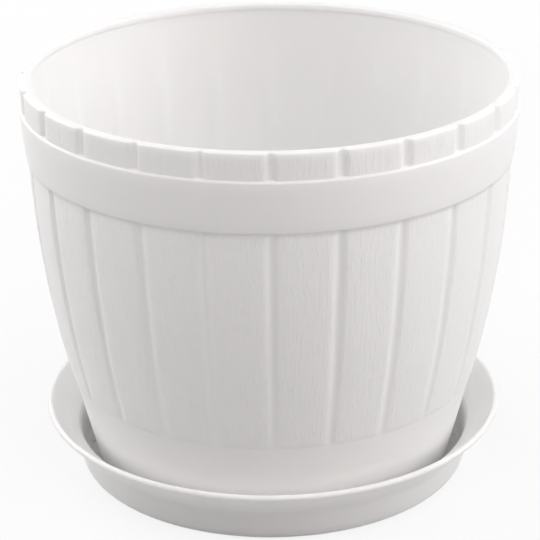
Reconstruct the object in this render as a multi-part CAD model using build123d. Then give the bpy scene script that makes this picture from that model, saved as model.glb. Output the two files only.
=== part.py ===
from build123d import *
import math
import os

# Barrel-shaped plastic flower pot standing in its saucer.
# Millimetres, +Z up, origin at the centre of the saucer's underside.
# One groove between staves faces -Y.

# Pot: overall shape
rim_diameter = 200.0
pot_height = 165.0
stave_top_diameter = 195.8      # across the staves where they leave the hoop
stave_middle_diameter = 187.8   # across the staves half way down
stave_end_diameter = 169.6      # across the staves where they end above the foot
foot_height = 37.5              # standing ring up to the stave ends
foot_base_diameter = 150.4
foot_inset = 0.8                # stave ends stand this far out of the foot
stave_end_slope = 1.2           # height over which that step runs out
foot_edge_radius = 1.5

# Pot: hoop and rim
rim_band_height = 10.6          # stave stubs above the hoop
hoop_height = 21.2
hoop_ridge_proud = 0.6          # hoop's top edge, out from the rim face
hoop_skirt_proud = 0.8          # hoop's lower edge, out from the staves
hoop_crown = 0.1                # bulge of the hoop's face
hoop_shoulder_radius = 1.0
rim_lean = 0.1                  # stubs lean out by this much up to the rim
rim_land_width = 4.3
rim_bead_height = 3.0           # thicker band inside the mouth
rim_bead_step = 0.8             # how far that band stands into the mouth
rim_edge_radius = 0.5

# Pot: staves and grooves
stave_count = 24
groove_width = 3.2
groove_depth = 1.4              # below the hoop
groove_end_depth = 0.6          # at the stave ends
notch_depth = 1.9               # groove between the stubs
groove_overrun = 3.0            # how far each cut runs on past what it shapes

# Pot: walls, floor and drain holes
stave_wall_thickness = 2.8      # staves included, so 1.4 is left behind a groove
foot_wall_thickness = 2.2
floor_thickness = 2.2
floor_corner_radius = 4.0
standing_ring_height = 2.5
standing_ring_width = 4.0
drain_hole_count = 8
drain_hole_diameter = 8.0
drain_circle_diameter = 104.0

# Saucer
saucer_height = 27.0
saucer_wall_height = 14.5       # where the wall turns outward
saucer_wall_thickness = 1.8
saucer_wall_lean = 2.3
saucer_flange_width = 11.8      # wall's outside to the lip's edge
saucer_floor_thickness = 1.8
saucer_edge_radius = 3.0        # rounded lower edge
saucer_ring_width = 6.0
saucer_recess = 0.8             # underside inside the saucer's own standing ring
lip_bead_diameter = 2.5
flange_bend_radius = 5.0
rib_count = 8
rib_height = 1.4
rib_width = 2.0
rib_ring_diameter = 44.0

# Clearances
foot_to_saucer_gap = 4.4        # round the foot, at the top of the saucer's wall

# Pot: derived sizes
saucer_floor_top = saucer_recess + saucer_floor_thickness
seat_height = saucer_floor_top + rib_height
rim_height = seat_height + pot_height
hoop_top = rim_height - rim_band_height
hoop_bottom = hoop_top - hoop_height
stave_end = seat_height + foot_height
stave_middle = (hoop_bottom + stave_end) / 2
rim_radius = rim_diameter / 2
stave_top_radius = stave_top_diameter / 2
stave_middle_radius = stave_middle_diameter / 2
stave_end_radius = stave_end_diameter / 2
foot_top_radius = stave_end_radius - foot_inset
foot_base_radius = foot_base_diameter / 2
stub_foot_radius = rim_radius - rim_lean
floor_underside = seat_height + standing_ring_height
floor_top = floor_underside + floor_thickness
floor_edge_radius = foot_base_radius - foot_wall_thickness
mouth_radius = rim_radius - rim_land_width

# Saucer: derived sizes
foot_slope = (foot_top_radius - foot_base_radius) / foot_height
foot_radius_at_wall = foot_base_radius + foot_slope * (saucer_wall_height - seat_height)
saucer_inner_radius = foot_radius_at_wall + foot_to_saucer_gap
saucer_outer_radius = saucer_inner_radius + saucer_wall_thickness
saucer_base_radius = saucer_outer_radius - saucer_wall_lean
saucer_ring_radius = saucer_base_radius - saucer_edge_radius
lip_radius = saucer_outer_radius + saucer_flange_width
lip_centre_radius = lip_radius - lip_bead_diameter / 2
lip_centre_height = saucer_height - lip_bead_diameter / 2


def solid_of_revolution(profile):
    """Turn a closed profile, given in (radius, height), about the vertical axis."""
    return revolve(Plane.XZ * profile, Axis.Z)


def barrel_blank():
    """Full body of the pot before it is grooved and hollowed."""
    stave_face = ThreePointArc(
        (stave_end_radius, stave_end + stave_end_slope),
        (stave_middle_radius, stave_middle),
        (stave_top_radius, hoop_bottom),
    )
    outline = Polyline(
        (stave_top_radius, hoop_bottom),
        (stub_foot_radius, hoop_top),
        (rim_radius, rim_height),
        (0, rim_height),
        (0, seat_height),
        (foot_base_radius, seat_height),
        (foot_top_radius, stave_end),
        (stave_end_radius, stave_end + stave_end_slope),
    )
    profile = make_face(outline.edges() + stave_face.edges())
    rim_corner = profile.vertices().sort_by(Axis.Y)[-2:].sort_by(Axis.X)[-1]
    profile = fillet(rim_corner, rim_edge_radius)
    base_corner = profile.vertices().sort_by(Axis.Y)[:2].sort_by(Axis.X)[-1]
    profile = fillet(base_corner, foot_edge_radius)
    return solid_of_revolution(profile)


def cutter_radius(depth):
    """Round cutter whose cut is one groove wide at the surface, at this depth."""
    return (groove_width**2 / 4 + depth**2) / (2 * depth)


def groove_cutter():
    """Bent rod that follows the staves and rises out of them towards their ends."""
    radius = cutter_radius(groove_depth)
    low = stave_end - groove_overrun
    high = hoop_bottom + groove_overrun
    middle_depth = (groove_depth + groove_end_depth) / 2
    end_slope = (stave_middle_radius - stave_end_radius) / (stave_middle - stave_end)
    path = ThreePointArc(
        (stave_end_radius + radius - groove_end_depth - end_slope * groove_overrun, 0, low),
        (stave_middle_radius + radius - middle_depth, 0, stave_middle),
        (stave_top_radius + radius - groove_depth, 0, high),
    )
    start = Plane(path @ 0, z_dir=path % 0)
    return sweep(start * Circle(radius), path=path)


def notch_cutter():
    """Straight rod that parts two stubs above the hoop."""
    radius = cutter_radius(notch_depth)
    length = rim_band_height + 2 * groove_overrun
    lean = math.degrees(math.atan2(rim_lean, rim_band_height))
    foot = (stub_foot_radius + radius - notch_depth, 0, hoop_top)
    rod = Pos(0, 0, -groove_overrun) * Cylinder(
        radius, length, align=(Align.CENTER, Align.CENTER, Align.MIN)
    )
    return Pos(*foot) * Rot(0, lean, 0) * rod


def round_the_pot(cutter):
    """Copies of a cutter between all the staves, the first facing -Y."""
    step = 360 / stave_count
    return [Rot(0, 0, -90 + step * i) * cutter for i in range(stave_count)]


def hoop():
    """Smooth band round the barrel, with a rounded shoulder on top."""
    ridge = rim_radius + hoop_ridge_proud
    skirt = stave_top_radius + hoop_skirt_proud
    inside = min(stave_top_radius, stub_foot_radius) - stave_wall_thickness
    shoulder = hoop_top - hoop_shoulder_radius
    face = ThreePointArc(
        (skirt, hoop_bottom),
        ((ridge + skirt) / 2 + hoop_crown, (shoulder + hoop_bottom) / 2),
        (ridge, shoulder),
    )
    outline = Polyline(
        (ridge, shoulder),
        (ridge - hoop_shoulder_radius, hoop_top),
        (inside, hoop_top),
        (inside, hoop_bottom),
        (skirt, hoop_bottom),
    )
    profile = make_face(outline.edges() + face.edges())
    return solid_of_revolution(profile)


def planting_space():
    """Hollow of the pot, with a thicker band at the mouth."""
    bead_bottom = rim_height - rim_bead_height
    above_rim = rim_height + groove_overrun
    wall_top_radius = stave_top_radius - stave_wall_thickness
    wall_end_radius = foot_top_radius - foot_wall_thickness
    wall_face = ThreePointArc(
        (wall_end_radius, stave_end),
        (stave_middle_radius - stave_wall_thickness, stave_middle),
        (wall_top_radius, hoop_bottom),
    )
    outline = Polyline(
        (wall_top_radius, hoop_bottom),
        (mouth_radius + rim_bead_step, bead_bottom),
        (mouth_radius, bead_bottom + rim_bead_step),
        (mouth_radius, above_rim),
        (0, above_rim),
        (0, floor_top),
        (floor_edge_radius, floor_top),
        (wall_end_radius, stave_end),
    )
    profile = make_face(outline.edges() + wall_face.edges())
    floor_corner = profile.vertices().sort_by(Axis.Y)[:2].sort_by(Axis.X)[-1]
    profile = fillet(floor_corner, floor_corner_radius)
    return solid_of_revolution(profile)


def underside_recess():
    """Space under the pot's floor, inside its standing ring."""
    radius = foot_base_radius - foot_edge_radius - standing_ring_width
    recess = Cylinder(radius, standing_ring_height, align=(Align.CENTER, Align.CENTER, Align.MIN))
    return Pos(0, 0, seat_height) * recess


def drain_holes():
    """Ring of round holes through the pot's floor."""
    hole = Cylinder(drain_hole_diameter / 2, 3 * floor_thickness)
    height = floor_underside + floor_thickness / 2
    places = PolarLocations(drain_circle_diameter / 2, drain_hole_count)
    return [Pos(0, 0, height) * place * hole for place in places]


def pot():
    """Pot: one moulding with staves, hoop, rim, foot and pierced floor."""
    body = barrel_blank()
    body = body - round_the_pot(groove_cutter())
    body = body - round_the_pot(notch_cutter())
    body = body + hoop()
    body = body - planting_space()
    body = body - underside_recess()
    return body - drain_holes()


def saucer_shell():
    """Saucer without its ribs: floor, upright wall, sloping flange and beaded lip."""
    bead_radius = lip_bead_diameter / 2
    slope = math.atan2(
        lip_centre_height - saucer_wall_height, lip_centre_radius - saucer_outer_radius
    )
    half = saucer_wall_thickness / 2
    flange_inner = (saucer_inner_radius, saucer_wall_height + half / math.cos(slope))
    flange_outer = (saucer_outer_radius, saucer_wall_height - half / math.cos(slope))
    lip_top = (
        lip_centre_radius - half * math.sin(slope),
        lip_centre_height + half * math.cos(slope),
    )
    lip_under = (
        lip_centre_radius + half * math.sin(slope),
        lip_centre_height - half * math.cos(slope),
    )
    outline = Polyline(
        (0, saucer_recess),
        (saucer_ring_radius - saucer_ring_width, saucer_recess),
        (saucer_ring_radius - saucer_ring_width, 0),
        (saucer_base_radius, 0),
        flange_outer,
        lip_under,
        lip_top,
        flange_inner,
        (saucer_base_radius - saucer_wall_thickness, saucer_floor_top),
        (0, saucer_floor_top),
        close=True,
    )
    profile = make_face(outline.edges())
    corners = profile.vertices()
    lower_edge = corners.sort_by_distance((saucer_base_radius, 0))[0]
    profile = fillet(lower_edge, saucer_edge_radius)
    inner_corner = profile.vertices().sort_by_distance(
        (saucer_base_radius - saucer_wall_thickness, saucer_floor_top)
    )[0]
    profile = fillet(inner_corner, saucer_edge_radius - saucer_wall_thickness)
    for bend in (flange_outer, flange_inner):
        corner = profile.vertices().sort_by_distance(bend)[0]
        profile = fillet(corner, flange_bend_radius)
    bead = Pos(lip_centre_radius, lip_centre_height) * Circle(bead_radius)
    return solid_of_revolution(profile + bead)


def saucer_ribs():
    """Radial ribs and a ring that hold the pot clear of the water."""
    inner = rib_ring_diameter / 2 - rib_width / 2
    rib = Pos(inner, 0, saucer_floor_top - saucer_floor_thickness / 2) * Box(
        saucer_ring_radius - inner,
        rib_width,
        rib_height + saucer_floor_thickness / 2,
        align=(Align.MIN, Align.CENTER, Align.MIN),
    )
    ring_height = rib_height + saucer_floor_thickness / 2
    ring = Cylinder(inner + rib_width, ring_height) - Cylinder(inner, ring_height)
    ring = Pos(0, 0, seat_height - ring_height / 2) * ring
    ribs = [Rot(0, 0, 360 / rib_count * i) * rib for i in range(rib_count)]
    return [ring] + ribs


def saucer():
    """Saucer: one moulding that the pot stands in."""
    return saucer_shell() + saucer_ribs()


def write_parts():
    os.makedirs("parts", exist_ok=True)
    for name, shape in (("pot", pot()), ("saucer", saucer())):
        shape.label = name
        export_step(shape, os.path.join("parts", name + ".step"))
        print(name, "volume", round(shape.volume / 1000, 1), "cm3", "solids", len(shape.solids()))


write_parts()
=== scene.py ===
import bpy
import math
import numpy as np
from mathutils import Matrix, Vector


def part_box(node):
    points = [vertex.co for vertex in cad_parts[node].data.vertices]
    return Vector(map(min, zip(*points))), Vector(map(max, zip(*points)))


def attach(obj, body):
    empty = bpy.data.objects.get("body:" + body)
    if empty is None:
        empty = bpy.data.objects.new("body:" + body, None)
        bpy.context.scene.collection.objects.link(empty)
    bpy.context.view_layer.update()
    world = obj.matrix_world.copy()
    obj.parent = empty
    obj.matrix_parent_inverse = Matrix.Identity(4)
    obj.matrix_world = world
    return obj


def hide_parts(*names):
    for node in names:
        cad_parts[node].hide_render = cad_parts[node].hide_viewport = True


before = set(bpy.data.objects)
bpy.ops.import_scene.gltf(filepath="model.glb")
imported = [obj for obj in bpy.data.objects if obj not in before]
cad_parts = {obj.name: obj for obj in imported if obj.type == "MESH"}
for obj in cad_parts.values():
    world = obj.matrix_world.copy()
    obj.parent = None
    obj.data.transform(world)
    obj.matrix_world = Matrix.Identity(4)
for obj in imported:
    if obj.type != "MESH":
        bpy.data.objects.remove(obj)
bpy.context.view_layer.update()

mm = 0.001
potSeat, potRim = (corner[2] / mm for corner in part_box("pot"))
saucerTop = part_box("saucer")[1][2] / mm
scene = bpy.context.scene


# Camera

viewpoint = {
    "distance": 0.815,        # metres in front of the pot's axis
    "height": 0.4271,         # metres above the surface the saucer stands on
    "turn": -0.045,           # degrees, to the right
    "pitch": 22.969,          # degrees, down
    "roll": -0.64,            # degrees
    "lens": 141.52,           # mm
    "sensor": 36,             # mm across
    "nearest": 0.02,          # metres, start of what is seen
}


def addCamera(v):
    # forward, right and up from turn and pitch, then right and up rolled about forward
    turn, pitch, roll = (math.radians(v[k]) for k in ("turn", "pitch", "roll"))
    forward = np.array([
        math.sin(turn) * math.cos(pitch),
        math.cos(turn) * math.cos(pitch),
        -math.sin(pitch),
    ])
    level = np.array([math.cos(turn), -math.sin(turn), 0.0])
    upright = np.cross(level, forward)
    right = math.cos(roll) * level + math.sin(roll) * upright
    up = -math.sin(roll) * level + math.cos(roll) * upright
    data = bpy.data.cameras.new("camera")
    data.lens = v["lens"]
    data.sensor_width = v["sensor"]
    data.clip_start = v["nearest"]
    camera = bpy.data.objects.new("camera", data)
    scene.collection.objects.link(camera)
    place = np.eye(4)
    place[:3, 0], place[:3, 1], place[:3, 2] = right, up, -forward
    place[:3, 3] = (0, -v["distance"], v["height"])
    camera.matrix_world = Matrix(place)
    scene.camera = camera


addCamera(viewpoint)
print("camera placed")


# Mesh helpers: rings of points carried along a profile, bridged with faces

class Shell:
    # collects rings of points and the faces between them; all lengths in millimetres
    def __init__(self):
        self.points = []
        self.count = 0
        self.faces = []

    def add(self, points):
        points = np.asarray(points, float).reshape(-1, 3)
        first = self.count
        self.points.append(points)
        self.count += len(points)
        return np.arange(first, self.count)

    def at(self, indices):
        return np.concatenate(self.points)[indices]

    def bridge(self, a, b):
        # quads between two closed rings of as many points
        an, bn = np.roll(a, -1), np.roll(b, -1)
        self.faces += np.stack([a, an, bn, b], 1).tolist()

    def extend(self, previous, points):
        # the next ring of a surface, joined to the one before it
        ring = self.add(points)
        self.bridge(previous, ring)
        return ring

    def halve(self, fine, coarse):
        # joins a ring to one with half its points, three triangles to each coarse edge
        f0, f1, f2 = fine[0::2], fine[1::2], np.roll(fine, -2)[0::2]
        c0, c1 = coarse, np.roll(coarse, -1)
        for tri in ((f0, f1, c0), (f1, c1, c0), (f1, f2, c1)):
            self.faces += np.stack(tri, 1).tolist()

    def double(self, coarse, fine):
        # the same the other way round, from a coarse ring on to a fine one
        f0, f1, f2 = fine[0::2], fine[1::2], np.roll(fine, -2)[0::2]
        c0, c1 = coarse, np.roll(coarse, -1)
        for tri in ((c0, f1, f0), (c0, c1, f1), (c1, f2, f1)):
            self.faces += np.stack(tri, 1).tolist()

    def close(self, ring, centre):
        # fan from a ring in to one point
        middle = np.full(len(ring), self.add([centre])[0])
        self.faces += np.stack([ring, np.roll(ring, -1), middle], 1).tolist()

    def open(self, centre, ring):
        # fan from one point out to a ring
        middle = np.full(len(ring), self.add([centre])[0])
        self.faces += np.stack([np.roll(ring, -1), ring, middle], 1).tolist()

    def build(self, name):
        mesh = bpy.data.meshes.new(name)
        mesh.from_pydata((np.concatenate(self.points) * mm).tolist(), [], self.faces)
        mesh.validate()
        mesh.shade_smooth()
        piece = bpy.data.objects.new(name, mesh)
        scene.collection.objects.link(piece)
        return piece


def ringOf(angles, radius, height):
    # points at (radius cos angle, radius sin angle, height)
    radius = np.broadcast_to(radius, angles.shape)
    height = np.broadcast_to(height, angles.shape)
    return np.stack([radius * np.cos(angles), radius * np.sin(angles), height], 1)


def arcThrough(p, q, s):
    # circle through three (radius, height) points; gives radius as a function of height
    rows = np.array([[a, b, 1.0] for a, b in (p, q, s)])
    squares = -np.array([a * a + b * b for a, b in (p, q, s)])
    c, d, e = np.linalg.solve(rows, squares)
    centre = (-c / 2, -d / 2)
    reach = math.hypot(p[0] - centre[0], p[1] - centre[1])
    side = 1 if q[0] > centre[0] else -1
    return lambda z: centre[0] + side * np.sqrt(reach**2 - (np.asarray(z, float) - centre[1])**2)


def smooth(x):
    x = np.clip(x, 0, 1)
    return x * x * (3 - 2 * x)


def fade(x, start, length):
    # 0 up to start, 1 beyond start + length
    return smooth((x - start) / length)


def cloth(seed, size, u, v):
    # smooth random field: a seeded lattice of values, blended with smoothstep between its knots
    values = np.random.default_rng(seed).uniform(-1, 1, (size, size))
    ui, vi = np.floor(u).astype(int), np.floor(v).astype(int)
    fu, fv = smooth(u - ui), smooth(v - vi)
    a = values[ui % size, vi % size]
    b = values[(ui + 1) % size, vi % size]
    c = values[ui % size, (vi + 1) % size]
    d = values[(ui + 1) % size, (vi + 1) % size]
    return (a * (1 - fu) + b * fu) * (1 - fv) + (c * (1 - fu) + d * fu) * fv


# Pot

pot = {
    "staves": 24,
    "columns": 40,            # of the mesh, for each stave
    "grooveColumns": 7,       # of those, over half a groove
    "grooveShare": 0.105,     # width of that half, as a share of the distance between grooves
    "rows": 42,               # of the mesh, along the staves
    "rimRadius": 100.0,
    "stubRadius": 99.9,       # stave stubs where they leave the hoop
    "hoopRidge": 100.6,
    "hoopSkirt": 98.7,
    "staveTop": 97.9,
    "staveMiddle": 93.9,
    "staveEnd": 84.8,
    "footTop": 84.0,
    "footBase": 75.2,
    "footHeight": 37.5,
    "footEdge": 1.5,          # rounding between the foot and the standing ring
    "footGap": 0.2,           # from the foot's top to the staves' ends
    "ringInner": 69.7,        # inner radius of the standing ring
    "ringBevel": 0.3,
    "endStep": 1.4,           # height of the step from the foot out to the staves
    "faceStart": 1.2,         # above the staves' ends, where their curve begins
    "firstRow": 1.6,          # above the staves' ends
    "lastRow": 0.05,          # below the hoop
    "rimBand": 10.6,
    "rimEdge": 0.6,           # rounding outside the rim land
    "mouthEdge": 0.5,         # rounding inside it
    "hoopHeight": 21.2,
    "hoopSwell": 0.1,         # of the hoop's face beyond straight
    "hoopEdge": 0.65,         # rounding of the hoop's lower edge
    "shoulder": 1.0,          # rounding of its upper edge
    "ledgeStep": 0.05,        # from the stub radius in to the ledge's inner edge
    "stubStart": 0.35,        # above the ledge
    "stubFade": 6.0,          # of the grain, towards both ends of a stub
    "landWidth": 4.3,
    "beadHeight": 3.0,
    # out from the mouth and up from the bead's end
    "beadCurve": ((0.0, 0.8), (0.2, 0.3), (0.7, -0.1), (0.8, -0.6)),
    "staveWall": 2.8,
    "footWall": 2.2,
    "wallStart": (0.03, 1.2),  # out from the staves' inside and up from the hoop's lower edge
    "insideStart": 6.0,       # below the hoop's lower edge
    "insideRows": 12,
    "floorUnderside": 2.5,    # above the standing ring
    "floor": 2.2,
    "fillet": 4.0,            # between the floor and the wall
    "filletShift": 0.75,
    "filletTop": 4.5,         # above the floor
    "grooveWidth": 3.4,
    "grooveSharpness": 2.3,
    "grooveDepth": 1.4,
    "grooveEndDepth": 0.6,
    "grooveRise": 1.15,       # how fast the groove deepens up the stave
    "notchDepth": 1.9,
    "innerSwell": 0.45,       # ridge inside, behind each groove
    "swellWidth": 1.5,        # times the groove's
    "swellRise": (1.6, 0.35),  # times the share of the stave's height, less the second number
    "grain": 0.09,            # height of the broad grain that is real shape
    "grainStart": 1.0,        # above the staves' ends
    "grainFade": 2.0,
    "wrapRadius": 95.0,       # reference for distances round the wall
    "holes": 8,
    "holeRadius": 4.0,
    "holeCircle": 52.0,
    "holeBand": (42.0, 62.0),  # radii between which the floor is pierced
    "holeBevel": 0.3,
    "spokePoints": 9,         # between those radii
    "dimple": ((24.0, 0.0), (5.2, 0.0), (4.8, 0.35), (1.5, 0.35)),     # radius, depth in the floor
    "nub": ((2.0, 0.5), (2.6, 0.3), (2.7, 0.0), (22.0, 0.0)),          # radius, depth under the floor
    "undersideRing": 1.2,     # inside the standing ring
    "waves": {
        "seed": 11,
        "staveShift": 61.0,   # mm along, from one stave's pattern to the next
        "spacing": 2.7,       # mm between lines
        "phase": 2.1,         # radians from stave to stave
        "slowBend": 2.6,      # mm
        "quickBend": 0.9,
        "streakBend": 0.6,    # share of the bend that the streaks follow
        "lineShare": 0.6,
        "streakShare": 0.8,
        # seed after the first, lattice size, mm along and across between knots, shift from stave to stave
        "slow": (0, 61, 17.0, 8.0, 3.7),
        "quick": (1, 67, 6.0, 4.0, 1.9),
        "strength": (2, 59, 12.0, 5.0, 2.3),
        "streaks": (3, 71, 9.0, 1.5, 5.3),
    },
    "mask": {
        # where the fine grain starts and over how many mm it grows
        "overEnds": (0.8, 1.5),
        "underHoop": (0.0, 0.4),
        "overHoop": (0.2, 0.6),
        "underRim": (0.5, 0.5),
        "outside": (-2.2, 0.4),
        "grooves": 1.15,      # times the groove's width, where there is none
    },
}


def staveColumns(p):
    # angles of the mesh columns: each stave pitch has them close together at its groove and even between
    half, narrow, share = p["columns"] // 2, p["grooveColumns"], p["grooveShare"]
    pitch = 2 * math.pi / p["staves"]
    near = np.linspace(0, share, narrow)
    far = np.linspace(share, 0.5, half - narrow + 2)[1:]
    side = np.concatenate([near, far])
    one = np.concatenate([side, 1 - side[1:-1][::-1]])
    turns = np.arange(p["staves"])[:, None]
    return ((turns + one[None, :]) * pitch).ravel()


def grooveShape(p, angles, radius, widening=1.0):
    # soft-edged bell: exp(-(distance / half width) ** sharpness), distance along the wall
    pitch = 2 * math.pi / p["staves"]
    away = (angles + pitch / 2) % pitch - pitch / 2
    return np.exp(-np.abs(away * radius / (p["grooveWidth"] * widening / 2))**p["grooveSharpness"])


def broadGrain(p, angles, radius, height):
    # wavy ridges along each stave: a sine across the stave, its phase bent by two smooth random fields,
    # mixed with long streaks of a third field, and faded in and out by a fourth
    w = p["waves"]
    pitch = 2 * math.pi / p["staves"]
    stave = np.floor(angles / pitch)
    across = (angles % pitch) * radius
    along = height + w["staveShift"] * stave

    def field(name, place):
        seed, size, length, width, shift = w[name]
        return cloth(w["seed"] + seed, size, along / length, place / width + shift * stave)

    bend = w["slowBend"] * field("slow", across) + w["quickBend"] * field("quick", across)
    lines = np.sin((across + bend) * 2 * math.pi / w["spacing"] + w["phase"] * stave)
    streaks = field("streaks", across + w["streakBend"] * bend)
    strength = 0.5 + 0.5 * field("strength", across)
    return (w["lineShare"] * lines + w["streakShare"] * streaks) * strength


def potLevels(p):
    # heights of the staves' lower ends and of the hoop's lower and upper edge
    hoopTop = potRim - p["rimBand"]
    return potSeat + p["footHeight"], hoopTop - p["hoopHeight"], hoopTop


def staveFace(p):
    # outside of the staves: the circle through their lower end, middle and top
    staveEnd, hoopBottom, _ = potLevels(p)
    lowest = (p["staveEnd"], staveEnd + p["faceStart"])
    middle = (p["staveMiddle"], (staveEnd + hoopBottom) / 2)
    return arcThrough(lowest, middle, (p["staveTop"], hoopBottom))


def outsideRings(p, angles):
    # radius and height of each ring, from the recess under the pot to the outer edge of the rim land
    staveEnd, hoopBottom, hoopTop = potLevels(p)
    rings = []

    def plain(radius, height):
        rings.append((np.full_like(angles, radius), height))

    def carved(radius, height, groove, grain=0.0):
        # the wall's radius less the groove there, and the grain on the faces between
        cut = grooveShape(p, angles, radius)
        lift = grain * p["grain"] * broadGrain(p, angles, radius, height) * (1 - cut)**2
        rings.append((radius - groove * cut + lift, height))

    # standing ring and foot
    plain(p["ringInner"], potSeat + p["floorUnderside"])
    plain(p["ringInner"], potSeat + p["ringBevel"])
    plain(p["ringInner"] + p["ringBevel"], potSeat)
    for turn in np.linspace(0, math.pi / 2, 5):
        radius = p["footBase"] - p["footEdge"] * (1 - math.sin(turn))
        plain(radius, potSeat + p["footEdge"] * (1 - math.cos(turn)))
    footStart, footStop = potSeat + p["footEdge"], staveEnd - p["footGap"]
    for share in (0.25, 0.5, 0.75, 0.93, 1.0):
        radius = p["footBase"] + (p["footTop"] - p["footBase"]) * share
        plain(radius, footStart + (footStop - footStart) * share)

    # stave faces, up to the hoop
    face = staveFace(p)
    for share in (0.3, 0.7):
        radius = p["footTop"] + (p["staveEnd"] - p["footTop"]) * smooth(share)
        carved(radius, staveEnd + p["endStep"] * share, share * p["grooveEndDepth"])
    for height in np.linspace(staveEnd + p["firstRow"], hoopBottom - p["lastRow"], p["rows"]):
        rise = smooth((height - staveEnd) / (hoopBottom - staveEnd) * p["grooveRise"])
        depth = p["grooveEndDepth"] + (p["grooveDepth"] - p["grooveEndDepth"]) * rise
        carved(face(height), height, depth, fade(height - staveEnd, p["grainStart"], p["grainFade"]))

    # hoop: rounded lower edge, face, rounded shoulder, ledge back to the stubs
    for turn in np.radians([0, 30, 60]):
        radius = p["hoopSkirt"] - p["hoopEdge"] * (1 - math.sin(turn))
        plain(radius, hoopBottom + p["hoopEdge"] * (1 - math.cos(turn)))
    skirt, shoulder = hoopBottom + p["hoopEdge"], hoopTop - p["shoulder"]
    middle = ((p["hoopSkirt"] + p["hoopRidge"]) / 2 + p["hoopSwell"], (skirt + shoulder) / 2)
    hoopFace = arcThrough((p["hoopSkirt"], skirt), middle, (p["hoopRidge"], shoulder))
    for height in np.linspace(skirt, shoulder, 5):
        plain(hoopFace(height), height)
    for turn in np.radians([22, 45, 68]):
        radius = p["hoopRidge"] - p["shoulder"] * (1 - math.cos(turn))
        plain(radius, shoulder + p["shoulder"] * math.sin(turn))
    carved(p["stubRadius"] - p["ledgeStep"], hoopTop, p["notchDepth"])

    # stubs up to the rim, with a small rounded edge
    edge = potRim - p["rimEdge"]
    for height in np.linspace(hoopTop + p["stubStart"], edge, 7):
        share = (height - hoopTop) / (potRim - hoopTop)
        radius = p["stubRadius"] + (p["rimRadius"] - p["stubRadius"]) * share
        carved(radius, height, p["notchDepth"], smooth(min(share, 1 - share) * p["stubFade"]))
    for turn in np.radians([30, 60, 90]):
        radius = p["rimRadius"] - p["rimEdge"] * (1 - math.cos(turn))
        carved(radius, edge + p["rimEdge"] * math.sin(turn), p["notchDepth"])
    return rings


def insideRows(p):
    # radius, height and strength of the ridges for each row, from the mouth down to the floor
    staveEnd, hoopBottom, _ = potLevels(p)
    mouth, bead = p["rimRadius"] - p["landWidth"], potRim - p["beadHeight"]
    wallTop, wallEnd = p["staveTop"] - p["staveWall"], p["footTop"] - p["footWall"]
    middle = (p["staveMiddle"] - p["staveWall"], (staveEnd + hoopBottom) / 2)
    inside = arcThrough((wallEnd, staveEnd), middle, (wallTop, hoopBottom))
    rounding = 0.3 * p["mouthEdge"]
    rows = [(mouth + rounding, potRim - rounding, 0), (mouth, potRim - p["mouthEdge"], 0)]
    rows += [(mouth + out, bead + up, 0) for out, up in p["beadCurve"]]
    rows += [(wallTop + p["wallStart"][0], hoopBottom + p["wallStart"][1], 0), (wallTop, hoopBottom, 1)]
    growth, late = p["swellRise"]
    for height in np.linspace(hoopBottom - p["insideStart"], staveEnd, p["insideRows"]):
        share = (height - staveEnd) / (hoopBottom - staveEnd)
        rows.append((float(inside(height)), height, smooth(share * growth - late)))
    floorTop = potSeat + p["floorUnderside"] + p["floor"]
    floorEdge = p["footBase"] - p["footWall"]
    slope = (wallEnd - floorEdge) / (staveEnd - floorTop)
    lowest = floorTop + p["filletTop"]
    for share in (0.66, 0.33):
        height = lowest + (staveEnd - lowest) * share
        rows.append((floorEdge + slope * (height - floorTop), height, 0))
    for turn in np.radians([0, 25, 50, 75, 90]):
        radius = floorEdge + p["filletShift"] - p["fillet"] * (1 - math.cos(turn))
        rows.append((radius, floorTop + p["fillet"] * (1 - math.sin(turn)), 0))
    return rows


def buildPot(p):
    fine = staveColumns(p)
    half = fine[0::2]
    shell = Shell()
    rings = outsideRings(p, fine)
    start = previous = shell.add(ringOf(fine, *rings[0]))
    for radius, height in rings[1:]:
        previous = shell.extend(previous, ringOf(fine, radius, height))

    # rim land, then down the inside with half the columns
    landEnd = p["rimRadius"] - p["landWidth"] + p["mouthEdge"]
    land = shell.extend(previous, ringOf(fine, (rings[-1][0] + landEnd) / 2, potRim))
    previous = shell.add(ringOf(half, landEnd, potRim))
    shell.halve(land, previous)
    for radius, height, swell in insideRows(p):
        ridge = swell * p["innerSwell"] * grooveShape(p, half, radius, p["swellWidth"])
        previous = shell.extend(previous, ringOf(half, radius - ridge, height))
    addPotFloor(shell, p, half, previous, start)
    return shell.build("potMoulding")


def addPotFloor(shell, p, half, wall, start):
    # floor pierced by drain holes, and the underside back out to the standing ring
    quarter = half[0::2]
    low = potSeat + p["floorUnderside"]
    high = low + p["floor"]
    innerEdge, outerEdge = p["holeBand"]
    top = shell.add(ringOf(quarter, outerEdge, high))
    shell.halve(wall, top)
    under = shell.add(ringOf(quarter, outerEdge, low))
    topInner = shell.add(ringOf(quarter, innerEdge, high))
    underInner = shell.add(ringOf(quarter, innerEdge, low))
    pierceFloor(shell, p, ((top, topInner), (under, underInner)), high, low)
    ring = topInner
    for radius, depth in p["dimple"]:
        ring = shell.extend(ring, ringOf(quarter, radius, high - depth))
    shell.close(ring, (0, 0, high - depth))
    radius, depth = p["nub"][0]
    ring = shell.add(ringOf(quarter, radius, low - depth))
    shell.open((0, 0, low - depth), ring)
    for radius, depth in p["nub"][1:]:
        ring = shell.extend(ring, ringOf(quarter, radius, low - depth))
    shell.bridge(ring, underInner)
    ring = shell.add(ringOf(half, p["ringInner"] - p["undersideRing"], low))
    shell.double(under, ring)
    shell.double(ring, start)


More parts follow.
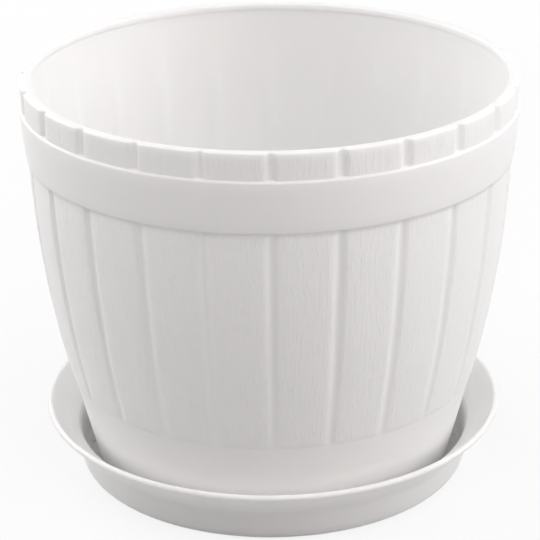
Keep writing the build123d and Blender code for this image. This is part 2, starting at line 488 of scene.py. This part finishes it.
def pierceFloor(shell, p, sides, high, low):
    # each sector of the floor is a patch between its border and the hole's circle, border points
    # sliding straight in to the circle; the hole's wall joins the upper patch to the lower one
    count = len(sides[0][0])
    span = count // p["holes"]
    edges = {}
    for k in range(p["holes"]):
        column = (span // 2 + k * span) % count
        spokes = []
        for outerRing, innerRing in sides:
            a, b = shell.at([outerRing[column], innerRing[column]])
            shares = np.linspace(0, 1, p["spokePoints"] + 2)[1:-1, None]
            spokes.append(shell.add(a + (b - a) * shares))
        edges[column] = spokes
    for k in range(p["holes"]):
        first = (k * span - span // 2) % count
        last = (first + span) % count
        arc = (first + np.arange(span + 1)) % count
        turn = 2 * math.pi * k / p["holes"]
        centre = np.array([math.cos(turn), math.sin(turn)]) * p["holeCircle"]
        loops = []
        for side, (outerRing, innerRing) in enumerate(sides):
            loop = [outerRing[arc], edges[last][side], innerRing[arc[::-1]], edges[first][side][::-1]]
            loops.append(np.concatenate(loop))
        border = shell.at(loops[0])[:, :2]
        heading = np.arctan2(border[:, 1] - centre[1], border[:, 0] - centre[0])
        outward = np.stack([np.cos(heading), np.sin(heading)], 1)
        circle = centre + p["holeRadius"] * outward

        def patchRing(share, height, grow=0.0):
            flat = border + (circle - border) * share + grow * outward
            return shell.add(np.column_stack([flat, np.full(len(flat), height)]))

        bevel = p["holeBevel"]
        chain = [loops[0], patchRing(0.5, high), patchRing(0.85, high), patchRing(1, high, bevel)]
        chain += [patchRing(1, high - bevel), patchRing(1, low), patchRing(0.85, low), patchRing(0.5, low)]
        chain.append(loops[1])
        for a, b in zip(chain, chain[1:]):
            shell.bridge(a, b)


# Saucer

saucer = {
    "sectors": 8,             # one rib to each
    "columns": 60,            # of the mesh, for each sector
    "wallHeight": 14.5,
    "wallThickness": 1.8,
    "innerRadius": 82.06,     # at the top of the upright wall
    "lean": 2.3,
    "flange": 11.8,
    "bend": 5.0,              # radius of the bend between wall and flange
    "bendRings": 6,
    "flangeShares": (0.35, 0.6, 0.85),
    "floor": 1.8,
    "recess": 0.8,
    "recessRings": (20.0, 45.0),
    "recessCurve": ((-0.3, 0.8), (0.0, 0.55), (0.1, 0.15), (0.4, 0.0)),   # out from the standing ring, height
    "nub": (4.0, 4.4, 0.3),   # upper and lower radius and height, in the middle of the underside
    "edge": 3.0,              # rounding between the standing ring and the wall
    "edgeShift": 0.26,        # moves that rounding out to the leaning wall
    "wallStart": 0.5,         # above that rounding
    "wallStop": 2.4,          # below the outer bend
    "innerWallStop": 3.5,     # below the inner bend
    "innerWallStart": 1.4,    # above the floor
    "fillet": 1.2,            # between the floor and the wall
    "filletShift": 0.1,
    "standingRing": 6.0,
    "bead": 1.25,
    "beadRings": 16,
    "ribHalfWidth": 1.0,
    "ribColumns": (0.0, 0.7, 0.93, 1.07),   # times the half width, away from the rib's middle
    "ribShoulder": 0.93,      # height of the third of those columns, as a share of the rib's
    "ribReach": 78.5,
    "ribEnd": (0.05, 0.1),    # beyond and short of that reach, foot and top of the rib's end
    "ribRings": 9,
    "ribRing": 22.0,
    "ringTop": 0.7,           # half the width of the rib ring's flat top
    "ringShoulder": (0.95, 0.08),   # half width and depth of its rounded edge
    "ringFoot": 1.1,          # half its width at the floor
    "floorRings": (14.0, 7.0),
}


def sectorAngles(s, radius):
    # columns beside a rib keep their distance from its middle line; the others share the rest evenly
    beside = np.array(s["ribColumns"]) * s["ribHalfWidth"]
    half = s["columns"] // 2
    pitch = 2 * math.pi / s["sectors"]
    near = np.arcsin(beside / radius)
    far = np.linspace(near[-1], pitch / 2, half - len(beside) + 2)[1:]
    side = np.concatenate([near, far])
    one = np.concatenate([side, pitch - side[1:-1][::-1]])
    turns = np.arange(s["sectors"])[:, None]
    return (turns * pitch + one[None, :]).ravel()


def besideRib(s):
    # 1 on the rib's top, a little less on its rounded shoulder, 0 beyond its foot
    half = s["columns"] // 2
    side = np.zeros(half + 1)
    side[:3] = (1.0, 1.0, s["ribShoulder"])
    one = np.concatenate([side, side[1:-1][::-1]])
    return np.tile(one, s["sectors"])


def buildSaucer(s):
    shell = Shell()
    floorTop = s["recess"] + s["floor"]
    outerWall = s["innerRadius"] + s["wallThickness"]
    base = outerWall - s["lean"]
    beadRadius, beadHeight = outerWall + s["flange"] - s["bead"], saucerTop - s["bead"]
    fall = math.atan2(beadHeight - s["wallHeight"], beadRadius - outerWall)
    half = s["wallThickness"] / 2
    outerBend = np.array([outerWall, s["wallHeight"] - half / math.cos(fall)])
    innerBend = np.array([s["innerRadius"], s["wallHeight"] + half / math.cos(fall)])
    leanSlope = s["lean"] / outerBend[1]
    nubTop, nubFoot, nubHeight = s["nub"]
    nubEnd = s["recess"] - nubHeight
    previous = shell.add(ringOf(sectorAngles(s, nubTop), nubTop, nubEnd))
    shell.open((0, 0, nubEnd), previous)

    def ring(radius, height):
        nonlocal previous
        previous = shell.extend(previous, ringOf(sectorAngles(s, radius), radius, height))

    # underside, standing ring and rounded lower edge
    for radius in (nubFoot, *s["recessRings"]):
        ring(radius, s["recess"])
    for out, height in s["recessCurve"]:
        ring(base - s["edge"] - s["standingRing"] + out, height)
    ring(base - s["edge"], 0.0)
    steep = math.pi / 2 - math.atan(leanSlope)
    for turn in np.linspace(0, steep, 7)[1:]:
        ring(base - s["edge"] + s["edgeShift"] + s["edge"] * math.sin(turn), s["edge"] * (1 - math.cos(turn)))

    # upright wall, bend, sloping flange and beaded lip; each bend is a curve between its two tangent points
    run = np.array([math.cos(fall), math.sin(fall)])
    normal = np.array([math.sin(fall), -math.cos(fall)])
    start = np.array([outerWall, s["wallHeight"]])
    length = (beadRadius - outerWall) / math.cos(fall)
    upright = np.array([leanSlope, 1.0]) / math.hypot(leanSlope, 1.0)

    def bendAt(corner, shares):
        reach = s["bend"] * math.tan((math.pi / 2 - fall) / 2)
        first, last = corner - upright * reach, corner + run * reach
        for share in shares:
            point = (1 - share)**2 * first + 2 * share * (1 - share) * corner + share**2 * last
            ring(point[0], point[1])

    def flangeAt(shares, side):
        for share in shares:
            point = start + run * length * share + normal * half * side
            ring(point[0], point[1])

    for height in np.linspace(s["edge"] + s["wallStart"], outerBend[1] - s["wallStop"], 5):
        ring(base + leanSlope * height, height)
    bendAt(outerBend, np.linspace(0, 1, s["bendRings"]))
    flangeAt(s["flangeShares"], 1)
    hold = math.pi / 2 + math.acos(half / s["bead"])
    for turn in np.linspace(fall - hold, fall + hold, s["beadRings"])[1:-1]:
        ring(beadRadius + s["bead"] * math.cos(turn), beadHeight + s["bead"] * math.sin(turn))
    flangeAt(s["flangeShares"][::-1], -1)
    bendAt(innerBend, np.linspace(1, 0, s["bendRings"]))
    innerBase = base - s["wallThickness"]
    for height in np.linspace(innerBend[1] - s["innerWallStop"], floorTop + s["innerWallStart"], 4):
        ring(innerBase + leanSlope * (height - floorTop), height)
    for turn in np.radians([35, 65, 90]):
        radius = innerBase + s["filletShift"] - s["fillet"] * (1 - math.cos(turn))
        ring(radius, floorTop + s["fillet"] * (1 - math.sin(turn)))

    # floor with ribs: heights follow the rib mask between the ribs' outer end and their ring
    rib = besideRib(s)
    rise = potSeat - floorTop
    reach, middle, foot = s["ribReach"], s["ribRing"], s["ringFoot"]
    shoulder, drop = s["ringShoulder"]
    beyond, short = s["ribEnd"]
    ring(reach + beyond, floorTop)
    for radius in np.linspace(reach - short, middle + foot, s["ribRings"]):
        ring(radius, floorTop + rise * rib)
    ring(middle + shoulder, potSeat - drop)
    ring(middle + s["ringTop"], potSeat)
    ring(middle - s["ringTop"], potSeat)
    ring(middle - shoulder, potSeat - drop)
    ring(middle - foot, floorTop)
    for radius in s["floorRings"]:
        ring(radius, floorTop)
    shell.close(previous, (0, 0, floorTop))
    return shell.build("saucerMoulding")


# Wrap coordinates: distance round the wall and height, for the grain that follows it

def wrapMap(piece, staves, across):
    # u is the turn about the axis times one reference radius, v the height; faces over the seam are unrolled
    mesh = piece.data
    count = len(mesh.vertices)
    place = np.empty(count * 3)
    mesh.vertices.foreach_get("co", place)
    place = place.reshape(-1, 3)
    loops = np.empty(len(mesh.loops), int)
    mesh.loops.foreach_get("vertex_index", loops)
    turn = (np.arctan2(place[:, 1], place[:, 0]) / (2 * math.pi)) % 1.0
    turn[turn > 1 - 1e-7] = 0.0
    around = turn[loops]
    sizes = np.empty(len(mesh.polygons), int)
    mesh.polygons.foreach_get("loop_total", sizes)
    starts = np.concatenate([[0], np.cumsum(sizes)[:-1]])
    widest = np.maximum.reduceat(around, starts)
    seam = np.repeat((widest > 0.75) & (np.minimum.reduceat(around, starts) < 0.25), sizes)
    around[seam & (around < 0.5)] += 1.0
    layer = mesh.uv_layers.new(name="wrap")
    flat = np.stack([around * staves * across, place[loops, 2]], 1)
    layer.data.foreach_set("uv", flat.ravel())


def markFaces(piece, p):
    # point attribute "grain": 1 on the stave faces and stubs, fading out to the grooves, the hoop, the foot,
    # the rim and the inside
    mesh = piece.data
    place = np.empty(len(mesh.vertices) * 3)
    mesh.vertices.foreach_get("co", place)
    place = place.reshape(-1, 3) / mm
    radius = np.hypot(place[:, 0], place[:, 1])
    turn = np.arctan2(place[:, 1], place[:, 0]) % (2 * math.pi)
    height = place[:, 2]
    staveEnd, hoopBottom, hoopTop = potLevels(p)
    mask = p["mask"]
    faces = fade(height - staveEnd, *mask["overEnds"]) * fade(hoopBottom - height, *mask["underHoop"])
    stubs = fade(height - hoopTop, *mask["overHoop"]) * fade(potRim - height, *mask["underRim"])
    face = staveFace(p)(np.clip(height, staveEnd, hoopBottom))
    wall = np.where(height > hoopTop, p["stubRadius"], face)
    outside = fade(radius - wall, *mask["outside"])
    between = 1 - grooveShape(p, turn, radius, mask["grooves"])
    value = np.clip(faces + stubs, 0, 1) * outside * between**2
    layer = mesh.attributes.new("grain", "FLOAT", "POINT")
    layer.data.foreach_set("value", value.astype(np.float32))


potPiece = buildPot(pot)
pitchLength = 2 * math.pi * pot["wrapRadius"] * mm / pot["staves"]
wrapMap(potPiece, pot["staves"], pitchLength)
markFaces(potPiece, pot)
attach(potPiece, "pot")
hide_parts("pot")
print("pot:", len(potPiece.data.polygons), "faces")

saucerPiece = buildSaucer(saucer)
wrapMap(saucerPiece, pot["staves"], pitchLength)
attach(saucerPiece, "saucer")
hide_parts("saucer")
print("saucer:", len(saucerPiece.data.polygons), "faces")


# Material groups

def newGroup(name, inputs, outputs):
    group = bpy.data.node_groups.new(name, "ShaderNodeTree")
    for label, kind, value in inputs:
        socket = group.interface.new_socket(name=label, in_out="INPUT", socket_type=kind)
        if value is not None:
            socket.default_value = value
    for label, kind in outputs:
        group.interface.new_socket(name=label, in_out="OUTPUT", socket_type=kind)
    return group, group.nodes.new("NodeGroupInput"), group.nodes.new("NodeGroupOutput")


def mathNode(tree, operation, a, b=None):
    node = tree.nodes.new("ShaderNodeMath")
    node.operation = operation
    for socket, value in zip(node.inputs, (a, b)):
        if value is None:
            continue
        if isinstance(value, (int, float)):
            socket.default_value = value
        else:
            tree.links.new(value, socket)
    return node.outputs[0]


def noiseNode(tree, vector, scale, detail, roughness=0.5, distortion=0.0):
    node = tree.nodes.new("ShaderNodeTexNoise")
    node.inputs["Scale"].default_value = scale
    node.inputs["Detail"].default_value = detail
    node.inputs["Roughness"].default_value = roughness
    node.inputs["Distortion"].default_value = distortion
    tree.links.new(vector, node.inputs["Vector"])
    return node


def combine(tree, x, y, z):
    node = tree.nodes.new("ShaderNodeCombineXYZ")
    for socket, value in zip(node.inputs, (x, y, z)):
        if isinstance(value, (int, float)):
            socket.default_value = value
        else:
            tree.links.new(value, socket)
    return node.outputs[0]


def mapRange(tree, value, low, high, toLow=0.0, toHigh=1.0):
    node = tree.nodes.new("ShaderNodeMapRange")
    node.interpolation_type = "SMOOTHSTEP"
    node.inputs["From Min"].default_value = low
    node.inputs["From Max"].default_value = high
    node.inputs["To Min"].default_value = toLow
    node.inputs["To Max"].default_value = toHigh
    tree.links.new(value, node.inputs["Value"])
    return node.outputs[0]


embossing = {
    "staveShift": (0.731, 0.377),   # metres across and along, from one stave's pattern to the next
    "slowBend": 0.0065,       # metres
    "quickBend": 0.0022,
    "crests": (-0.2, 0.95),   # of the wave, over which a line rises
    "breaks": (0.4, 0.62),    # of the noise that breaks the lines up
    "fibreShare": 0.55,
    "pimples": (0.68, 0.76, 0.0, 1.1),
    "noises": {
        # scale across and along per metre, detail, roughness
        "slow": (110, 42, 2.0, 0.5),
        "quick": (330, 130, 1.0, 0.5),
        "breaks": (520, 170, 2.0, 0.5),
        "fibre": (1700, 190, 3.0, 0.6),
        "dots": (640, 520, 1.0, 0.5),
    },
}


def woodGrainGroup(e):
    # fine embossed lines: wave across the stave, bent by slow noise along it, broken up by stretched noise,
    # with finer fibres and a few pimples; each stave has its own piece of pattern, from its number round
    # the pot
    group, source, sink = newGroup("woodGrain", [
        ("Wrap", "NodeSocketVector", None),
        ("Pitch", "NodeSocketFloat", 0.025),
        ("Spacing", "NodeSocketFloat", 0.0018),
        ("Waviness", "NodeSocketFloat", 1.0),
    ], [("Height", "NodeSocketFloat")])

    def times(a, b):
        return mathNode(group, "MULTIPLY", a, b)

    def plus(a, b):
        return mathNode(group, "ADD", a, b)

    split = group.nodes.new("ShaderNodeSeparateXYZ")
    group.links.new(source.outputs["Wrap"], split.inputs[0])
    number = mathNode(group, "FLOOR", mathNode(group, "DIVIDE", split.outputs[0], source.outputs["Pitch"]))
    shift = times(number, e["staveShift"][0])
    across = plus(split.outputs[0], shift)
    along = plus(split.outputs[1], times(number, e["staveShift"][1]))
    noises = {}
    for label, (crossScale, longScale, detail, roughness) in e["noises"].items():
        place = combine(group, times(across, crossScale), times(along, longScale), shift)
        noises[label] = noiseNode(group, place, 1.0, detail, roughness).outputs["Fac"]
    bend = times(mathNode(group, "SUBTRACT", noises["slow"], 0.5), e["slowBend"])
    jitter = times(mathNode(group, "SUBTRACT", noises["quick"], 0.5), e["quickBend"])
    moved = times(plus(bend, jitter), source.outputs["Waviness"])
    phase = mathNode(group, "DIVIDE", plus(across, moved), source.outputs["Spacing"])
    lines = mapRange(group, mathNode(group, "SINE", times(phase, 2 * math.pi)), *e["crests"])
    gate = mapRange(group, noises["breaks"], *e["breaks"])
    pimples = mapRange(group, noises["dots"], *e["pimples"])
    height = plus(plus(times(lines, gate), times(noises["fibre"], e["fibreShare"])), pimples)
    group.links.new(height, sink.inputs["Height"])
    return group


skinMarks = {
    # noises: scale, detail, roughness, distortion; ranges: from low and high, to low and high
    "cloud": (9.0, 3.0),
    "cloudRange": (0.35, 0.7),
    "specks": (900.0, 1.0),
    "speckRange": (0.74, 0.80, 0.0, 0.05),
    "speckColour": (0.35, 0.33, 0.31, 1),
    "scuffs": (38.0, 4.0, 0.6, 0.4),
    "scuffRange": (0.4, 0.7, -0.05, 0.07),
    "peel": (420.0, 2.0),
}


def mouldedGroup(marks):
    # moulded plastic skin: very slight cloudiness of colour, fine orange peel, a few scuffs and dust specks
    group, source, sink = newGroup("mouldedSkin", [
        ("Place", "NodeSocketVector", None),
        ("Base", "NodeSocketColor", (0.8, 0.8, 0.8, 1)),
        ("Shade", "NodeSocketColor", (0.76, 0.76, 0.77, 1)),
        ("Roughness", "NodeSocketFloat", 0.4),
    ], [("Color", "NodeSocketColor"), ("Roughness", "NodeSocketFloat"), ("Peel", "NodeSocketFloat")])
    place = source.outputs["Place"]
    cloud = noiseNode(group, place, *marks["cloud"])
    mix = group.nodes.new("ShaderNodeMix")
    mix.data_type = "RGBA"
    group.links.new(mapRange(group, cloud.outputs["Fac"], *marks["cloudRange"]), mix.inputs["Factor"])
    group.links.new(source.outputs["Base"], mix.inputs["A"])
    group.links.new(source.outputs["Shade"], mix.inputs["B"])
    specks = noiseNode(group, place, *marks["specks"])
    darker = group.nodes.new("ShaderNodeMix")
    darker.data_type = "RGBA"
    group.links.new(mapRange(group, specks.outputs["Fac"], *marks["speckRange"]), darker.inputs["Factor"])
    group.links.new(mix.outputs["Result"], darker.inputs["A"])
    darker.inputs["B"].default_value = marks["speckColour"]
    scuffs = noiseNode(group, place, *marks["scuffs"])
    worn = mapRange(group, scuffs.outputs["Fac"], *marks["scuffRange"])
    peel = noiseNode(group, place, *marks["peel"])
    group.links.new(darker.outputs["Result"], sink.inputs["Color"])
    group.links.new(mathNode(group, "ADD", source.outputs["Roughness"], worn), sink.inputs["Roughness"])
    group.links.new(peel.outputs["Fac"], sink.inputs["Peel"])
    return group


woodGrain = woodGrainGroup(embossing)
mouldedSkin = mouldedGroup(skinMarks)

plastic = {
    "base": (0.93, 0.924, 0.92, 1),
    "shade": (0.918, 0.912, 0.91, 1),
    "roughness": 0.42,
    "refraction": 1.49,
    "subsurface": 0.8,
    "reach": (1.0, 0.97, 0.94),    # of the light inside, in red, green and blue
    "reachScale": 0.004,      # metres
    "grainHeight": 0.00011,
    "peelHeight": 0.00001,
}


def plasticMaterial(name, settings, grained):
    material = bpy.data.materials.new(name)
    material.use_nodes = True
    tree = material.node_tree
    shader = tree.nodes["Principled BSDF"]
    shader.inputs["IOR"].default_value = settings["refraction"]
    shader.inputs["Subsurface Weight"].default_value = settings["subsurface"]
    shader.inputs["Subsurface Radius"].default_value = settings["reach"]
    shader.inputs["Subsurface Scale"].default_value = settings["reachScale"]
    coordinates = tree.nodes.new("ShaderNodeTexCoord")
    skin = tree.nodes.new("ShaderNodeGroup")
    skin.node_tree = mouldedSkin
    skin.inputs["Base"].default_value = settings["base"]
    skin.inputs["Shade"].default_value = settings["shade"]
    skin.inputs["Roughness"].default_value = settings["roughness"]
    tree.links.new(coordinates.outputs["Object"], skin.inputs["Place"])
    tree.links.new(skin.outputs["Color"], shader.inputs["Base Color"])
    tree.links.new(skin.outputs["Roughness"], shader.inputs["Roughness"])
    bump = tree.nodes.new("ShaderNodeBump")
    bump.inputs["Strength"].default_value = 1.0
    bump.inputs["Distance"].default_value = settings["peelHeight"]
    tree.links.new(skin.outputs["Peel"], bump.inputs["Height"])
    if grained:
        wrap = tree.nodes.new("ShaderNodeUVMap")
        wrap.uv_map = "wrap"
        grain = tree.nodes.new("ShaderNodeGroup")
        grain.node_tree = woodGrain
        grain.inputs["Pitch"].default_value = pitchLength
        tree.links.new(wrap.outputs["UV"], grain.inputs["Wrap"])
        mask = tree.nodes.new("ShaderNodeAttribute")
        mask.attribute_name = "grain"
        height = mathNode(tree, "MULTIPLY", grain.outputs["Height"], mask.outputs["Fac"])
        emboss = tree.nodes.new("ShaderNodeBump")
        emboss.inputs["Strength"].default_value = 1.0
        emboss.inputs["Distance"].default_value = settings["grainHeight"]
        tree.links.new(height, emboss.inputs["Height"])
        tree.links.new(emboss.outputs["Normal"], bump.inputs["Normal"])
    tree.links.new(bump.outputs["Normal"], shader.inputs["Normal"])
    return material


potPiece.data.materials.append(plasticMaterial("potPlastic", plastic, True))
saucerPiece.data.materials.append(plasticMaterial("saucerPlastic", plastic, False))
print("materials made")


# Stage: floor, lamps and world

stage = {
    "floorSize": 6.0,         # metres
    "floorPoints": 25,        # of the mesh, along each side
    "floorRoughness": 0.9,
    "floorColour": (0.9, 0.9, 0.9, 1),      # as the camera sees it
    "floorBounce": (0.45, 0.45, 0.45, 1),   # as it lights the object
    "floorGlow": 0.8,         # share of plain white that the camera sees in the floor by the object
    "glowRange": (0.25, 0.9),  # metres from the axis over which that share grows to all of it
    "worldStrength": 0.02,    # as it lights the object; the camera sees plain white
    "lampDistance": 1.6,
    "lampSize": 1.2,
    "aim": (0, 0, 0.1),
    "lamps": {
        # name: azimuth and elevation in degrees, watts, colour
        "right": (0, 25, 12.5, (1, 1, 1)),
        "frontRight": (-45, 25, 6.5, (1, 0.93, 0.91)),
        "left": (180, 25, 12.5, (1, 0.97, 0.96)),
        "backLeft": (135, 30, 10.5, (0.97, 0.99, 1)),
        "backRight": (45, 30, 5.0, (0.97, 0.99, 1)),
        "frontTop": (-90, 60, 10.5, (1, 0.97, 0.96)),
    },
}


def seenDirectly(tree):
    # 1 where a surface is seen by the camera, mirrored or through another; 0 where it only lights something
    path = tree.nodes.new("ShaderNodeLightPath")
    seen = mathNode(tree, "MAXIMUM", path.outputs["Is Camera Ray"], path.outputs["Is Glossy Ray"])
    return mathNode(tree, "MAXIMUM", seen, path.outputs["Is Transmission Ray"])


def addFloor(s):
    half, count = s["floorSize"] / 2, s["floorPoints"]
    steps = np.linspace(-half, half, count)
    gx, gy = np.meshgrid(steps, steps, indexing="ij")
    points = np.stack([gx, gy, np.zeros_like(gx)], 2).reshape(-1, 3)
    index = np.arange(count * count).reshape(count, count)
    faces = np.stack([index[:-1, :-1], index[1:, :-1], index[1:, 1:], index[:-1, 1:]], 2).reshape(-1, 4)
    mesh = bpy.data.meshes.new("floor")
    mesh.from_pydata(points.tolist(), [], faces.tolist())
    floor = bpy.data.objects.new("floor", mesh)
    scene.collection.objects.link(floor)
    material = bpy.data.materials.new("floorPaper")
    material.use_nodes = True
    tree = material.node_tree
    shader = tree.nodes["Principled BSDF"]
    shader.inputs["Roughness"].default_value = s["floorRoughness"]
    glow = tree.nodes.new("ShaderNodeEmission")
    glow.inputs["Color"].default_value = (1, 1, 1, 1)
    glow.inputs["Strength"].default_value = 1.0
    seen = seenDirectly(tree)
    mix = tree.nodes.new("ShaderNodeMixShader")
    paper = tree.nodes.new("ShaderNodeMix")
    paper.data_type = "RGBA"
    paper.inputs["A"].default_value = s["floorBounce"]
    paper.inputs["B"].default_value = s["floorColour"]
    tree.links.new(seen, paper.inputs["Factor"])
    tree.links.new(paper.outputs["Result"], shader.inputs["Base Color"])
    coordinates = tree.nodes.new("ShaderNodeTexCoord")
    away = tree.nodes.new("ShaderNodeVectorMath")
    away.operation = "LENGTH"
    tree.links.new(coordinates.outputs["Object"], away.inputs[0])
    glowShare = mapRange(tree, away.outputs["Value"], *s["glowRange"], s["floorGlow"], 1.0)
    tree.links.new(mathNode(tree, "MULTIPLY", seen, glowShare), mix.inputs[0])
    tree.links.new(shader.outputs[0], mix.inputs[1])
    tree.links.new(glow.outputs[0], mix.inputs[2])
    tree.links.new(mix.outputs[0], tree.nodes["Material Output"].inputs["Surface"])
    mesh.materials.append(material)


def addLamp(name, s, azimuth, elevation, watts, colour):
    # square lamp on a sphere about the aimed point, facing it
    data = bpy.data.lights.new(name, "AREA")
    data.shape = "SQUARE"
    data.size = s["lampSize"]
    data.energy = watts
    data.color = colour
    lamp = bpy.data.objects.new(name, data)
    scene.collection.objects.link(lamp)
    turn, rise = math.radians(azimuth), math.radians(elevation)
    away = np.array([math.cos(rise) * math.cos(turn), math.cos(rise) * math.sin(turn), math.sin(rise)])
    side = np.array([-math.sin(turn), math.cos(turn), 0.0])
    place = np.eye(4)
    place[:3, 0], place[:3, 1], place[:3, 2] = side, np.cross(away, side), away
    place[:3, 3] = np.array(s["aim"]) + s["lampDistance"] * away
    lamp.matrix_world = Matrix(place)


def addWorld(s):
    world = bpy.data.worlds.new("studio")
    world.use_nodes = True
    tree = world.node_tree
    background = tree.nodes["Background"]
    background.inputs["Color"].default_value = (1, 1, 1, 1)
    seen = seenDirectly(tree)
    rest = mathNode(tree, "MULTIPLY", seen, 1 - s["worldStrength"])
    tree.links.new(mathNode(tree, "ADD", rest, s["worldStrength"]), background.inputs["Strength"])
    scene.world = world


addFloor(stage)
for lampName, settings in stage["lamps"].items():
    addLamp(lampName, stage, *settings)
addWorld(stage)
scene.view_settings.view_transform = "Standard"
print("stage lit")
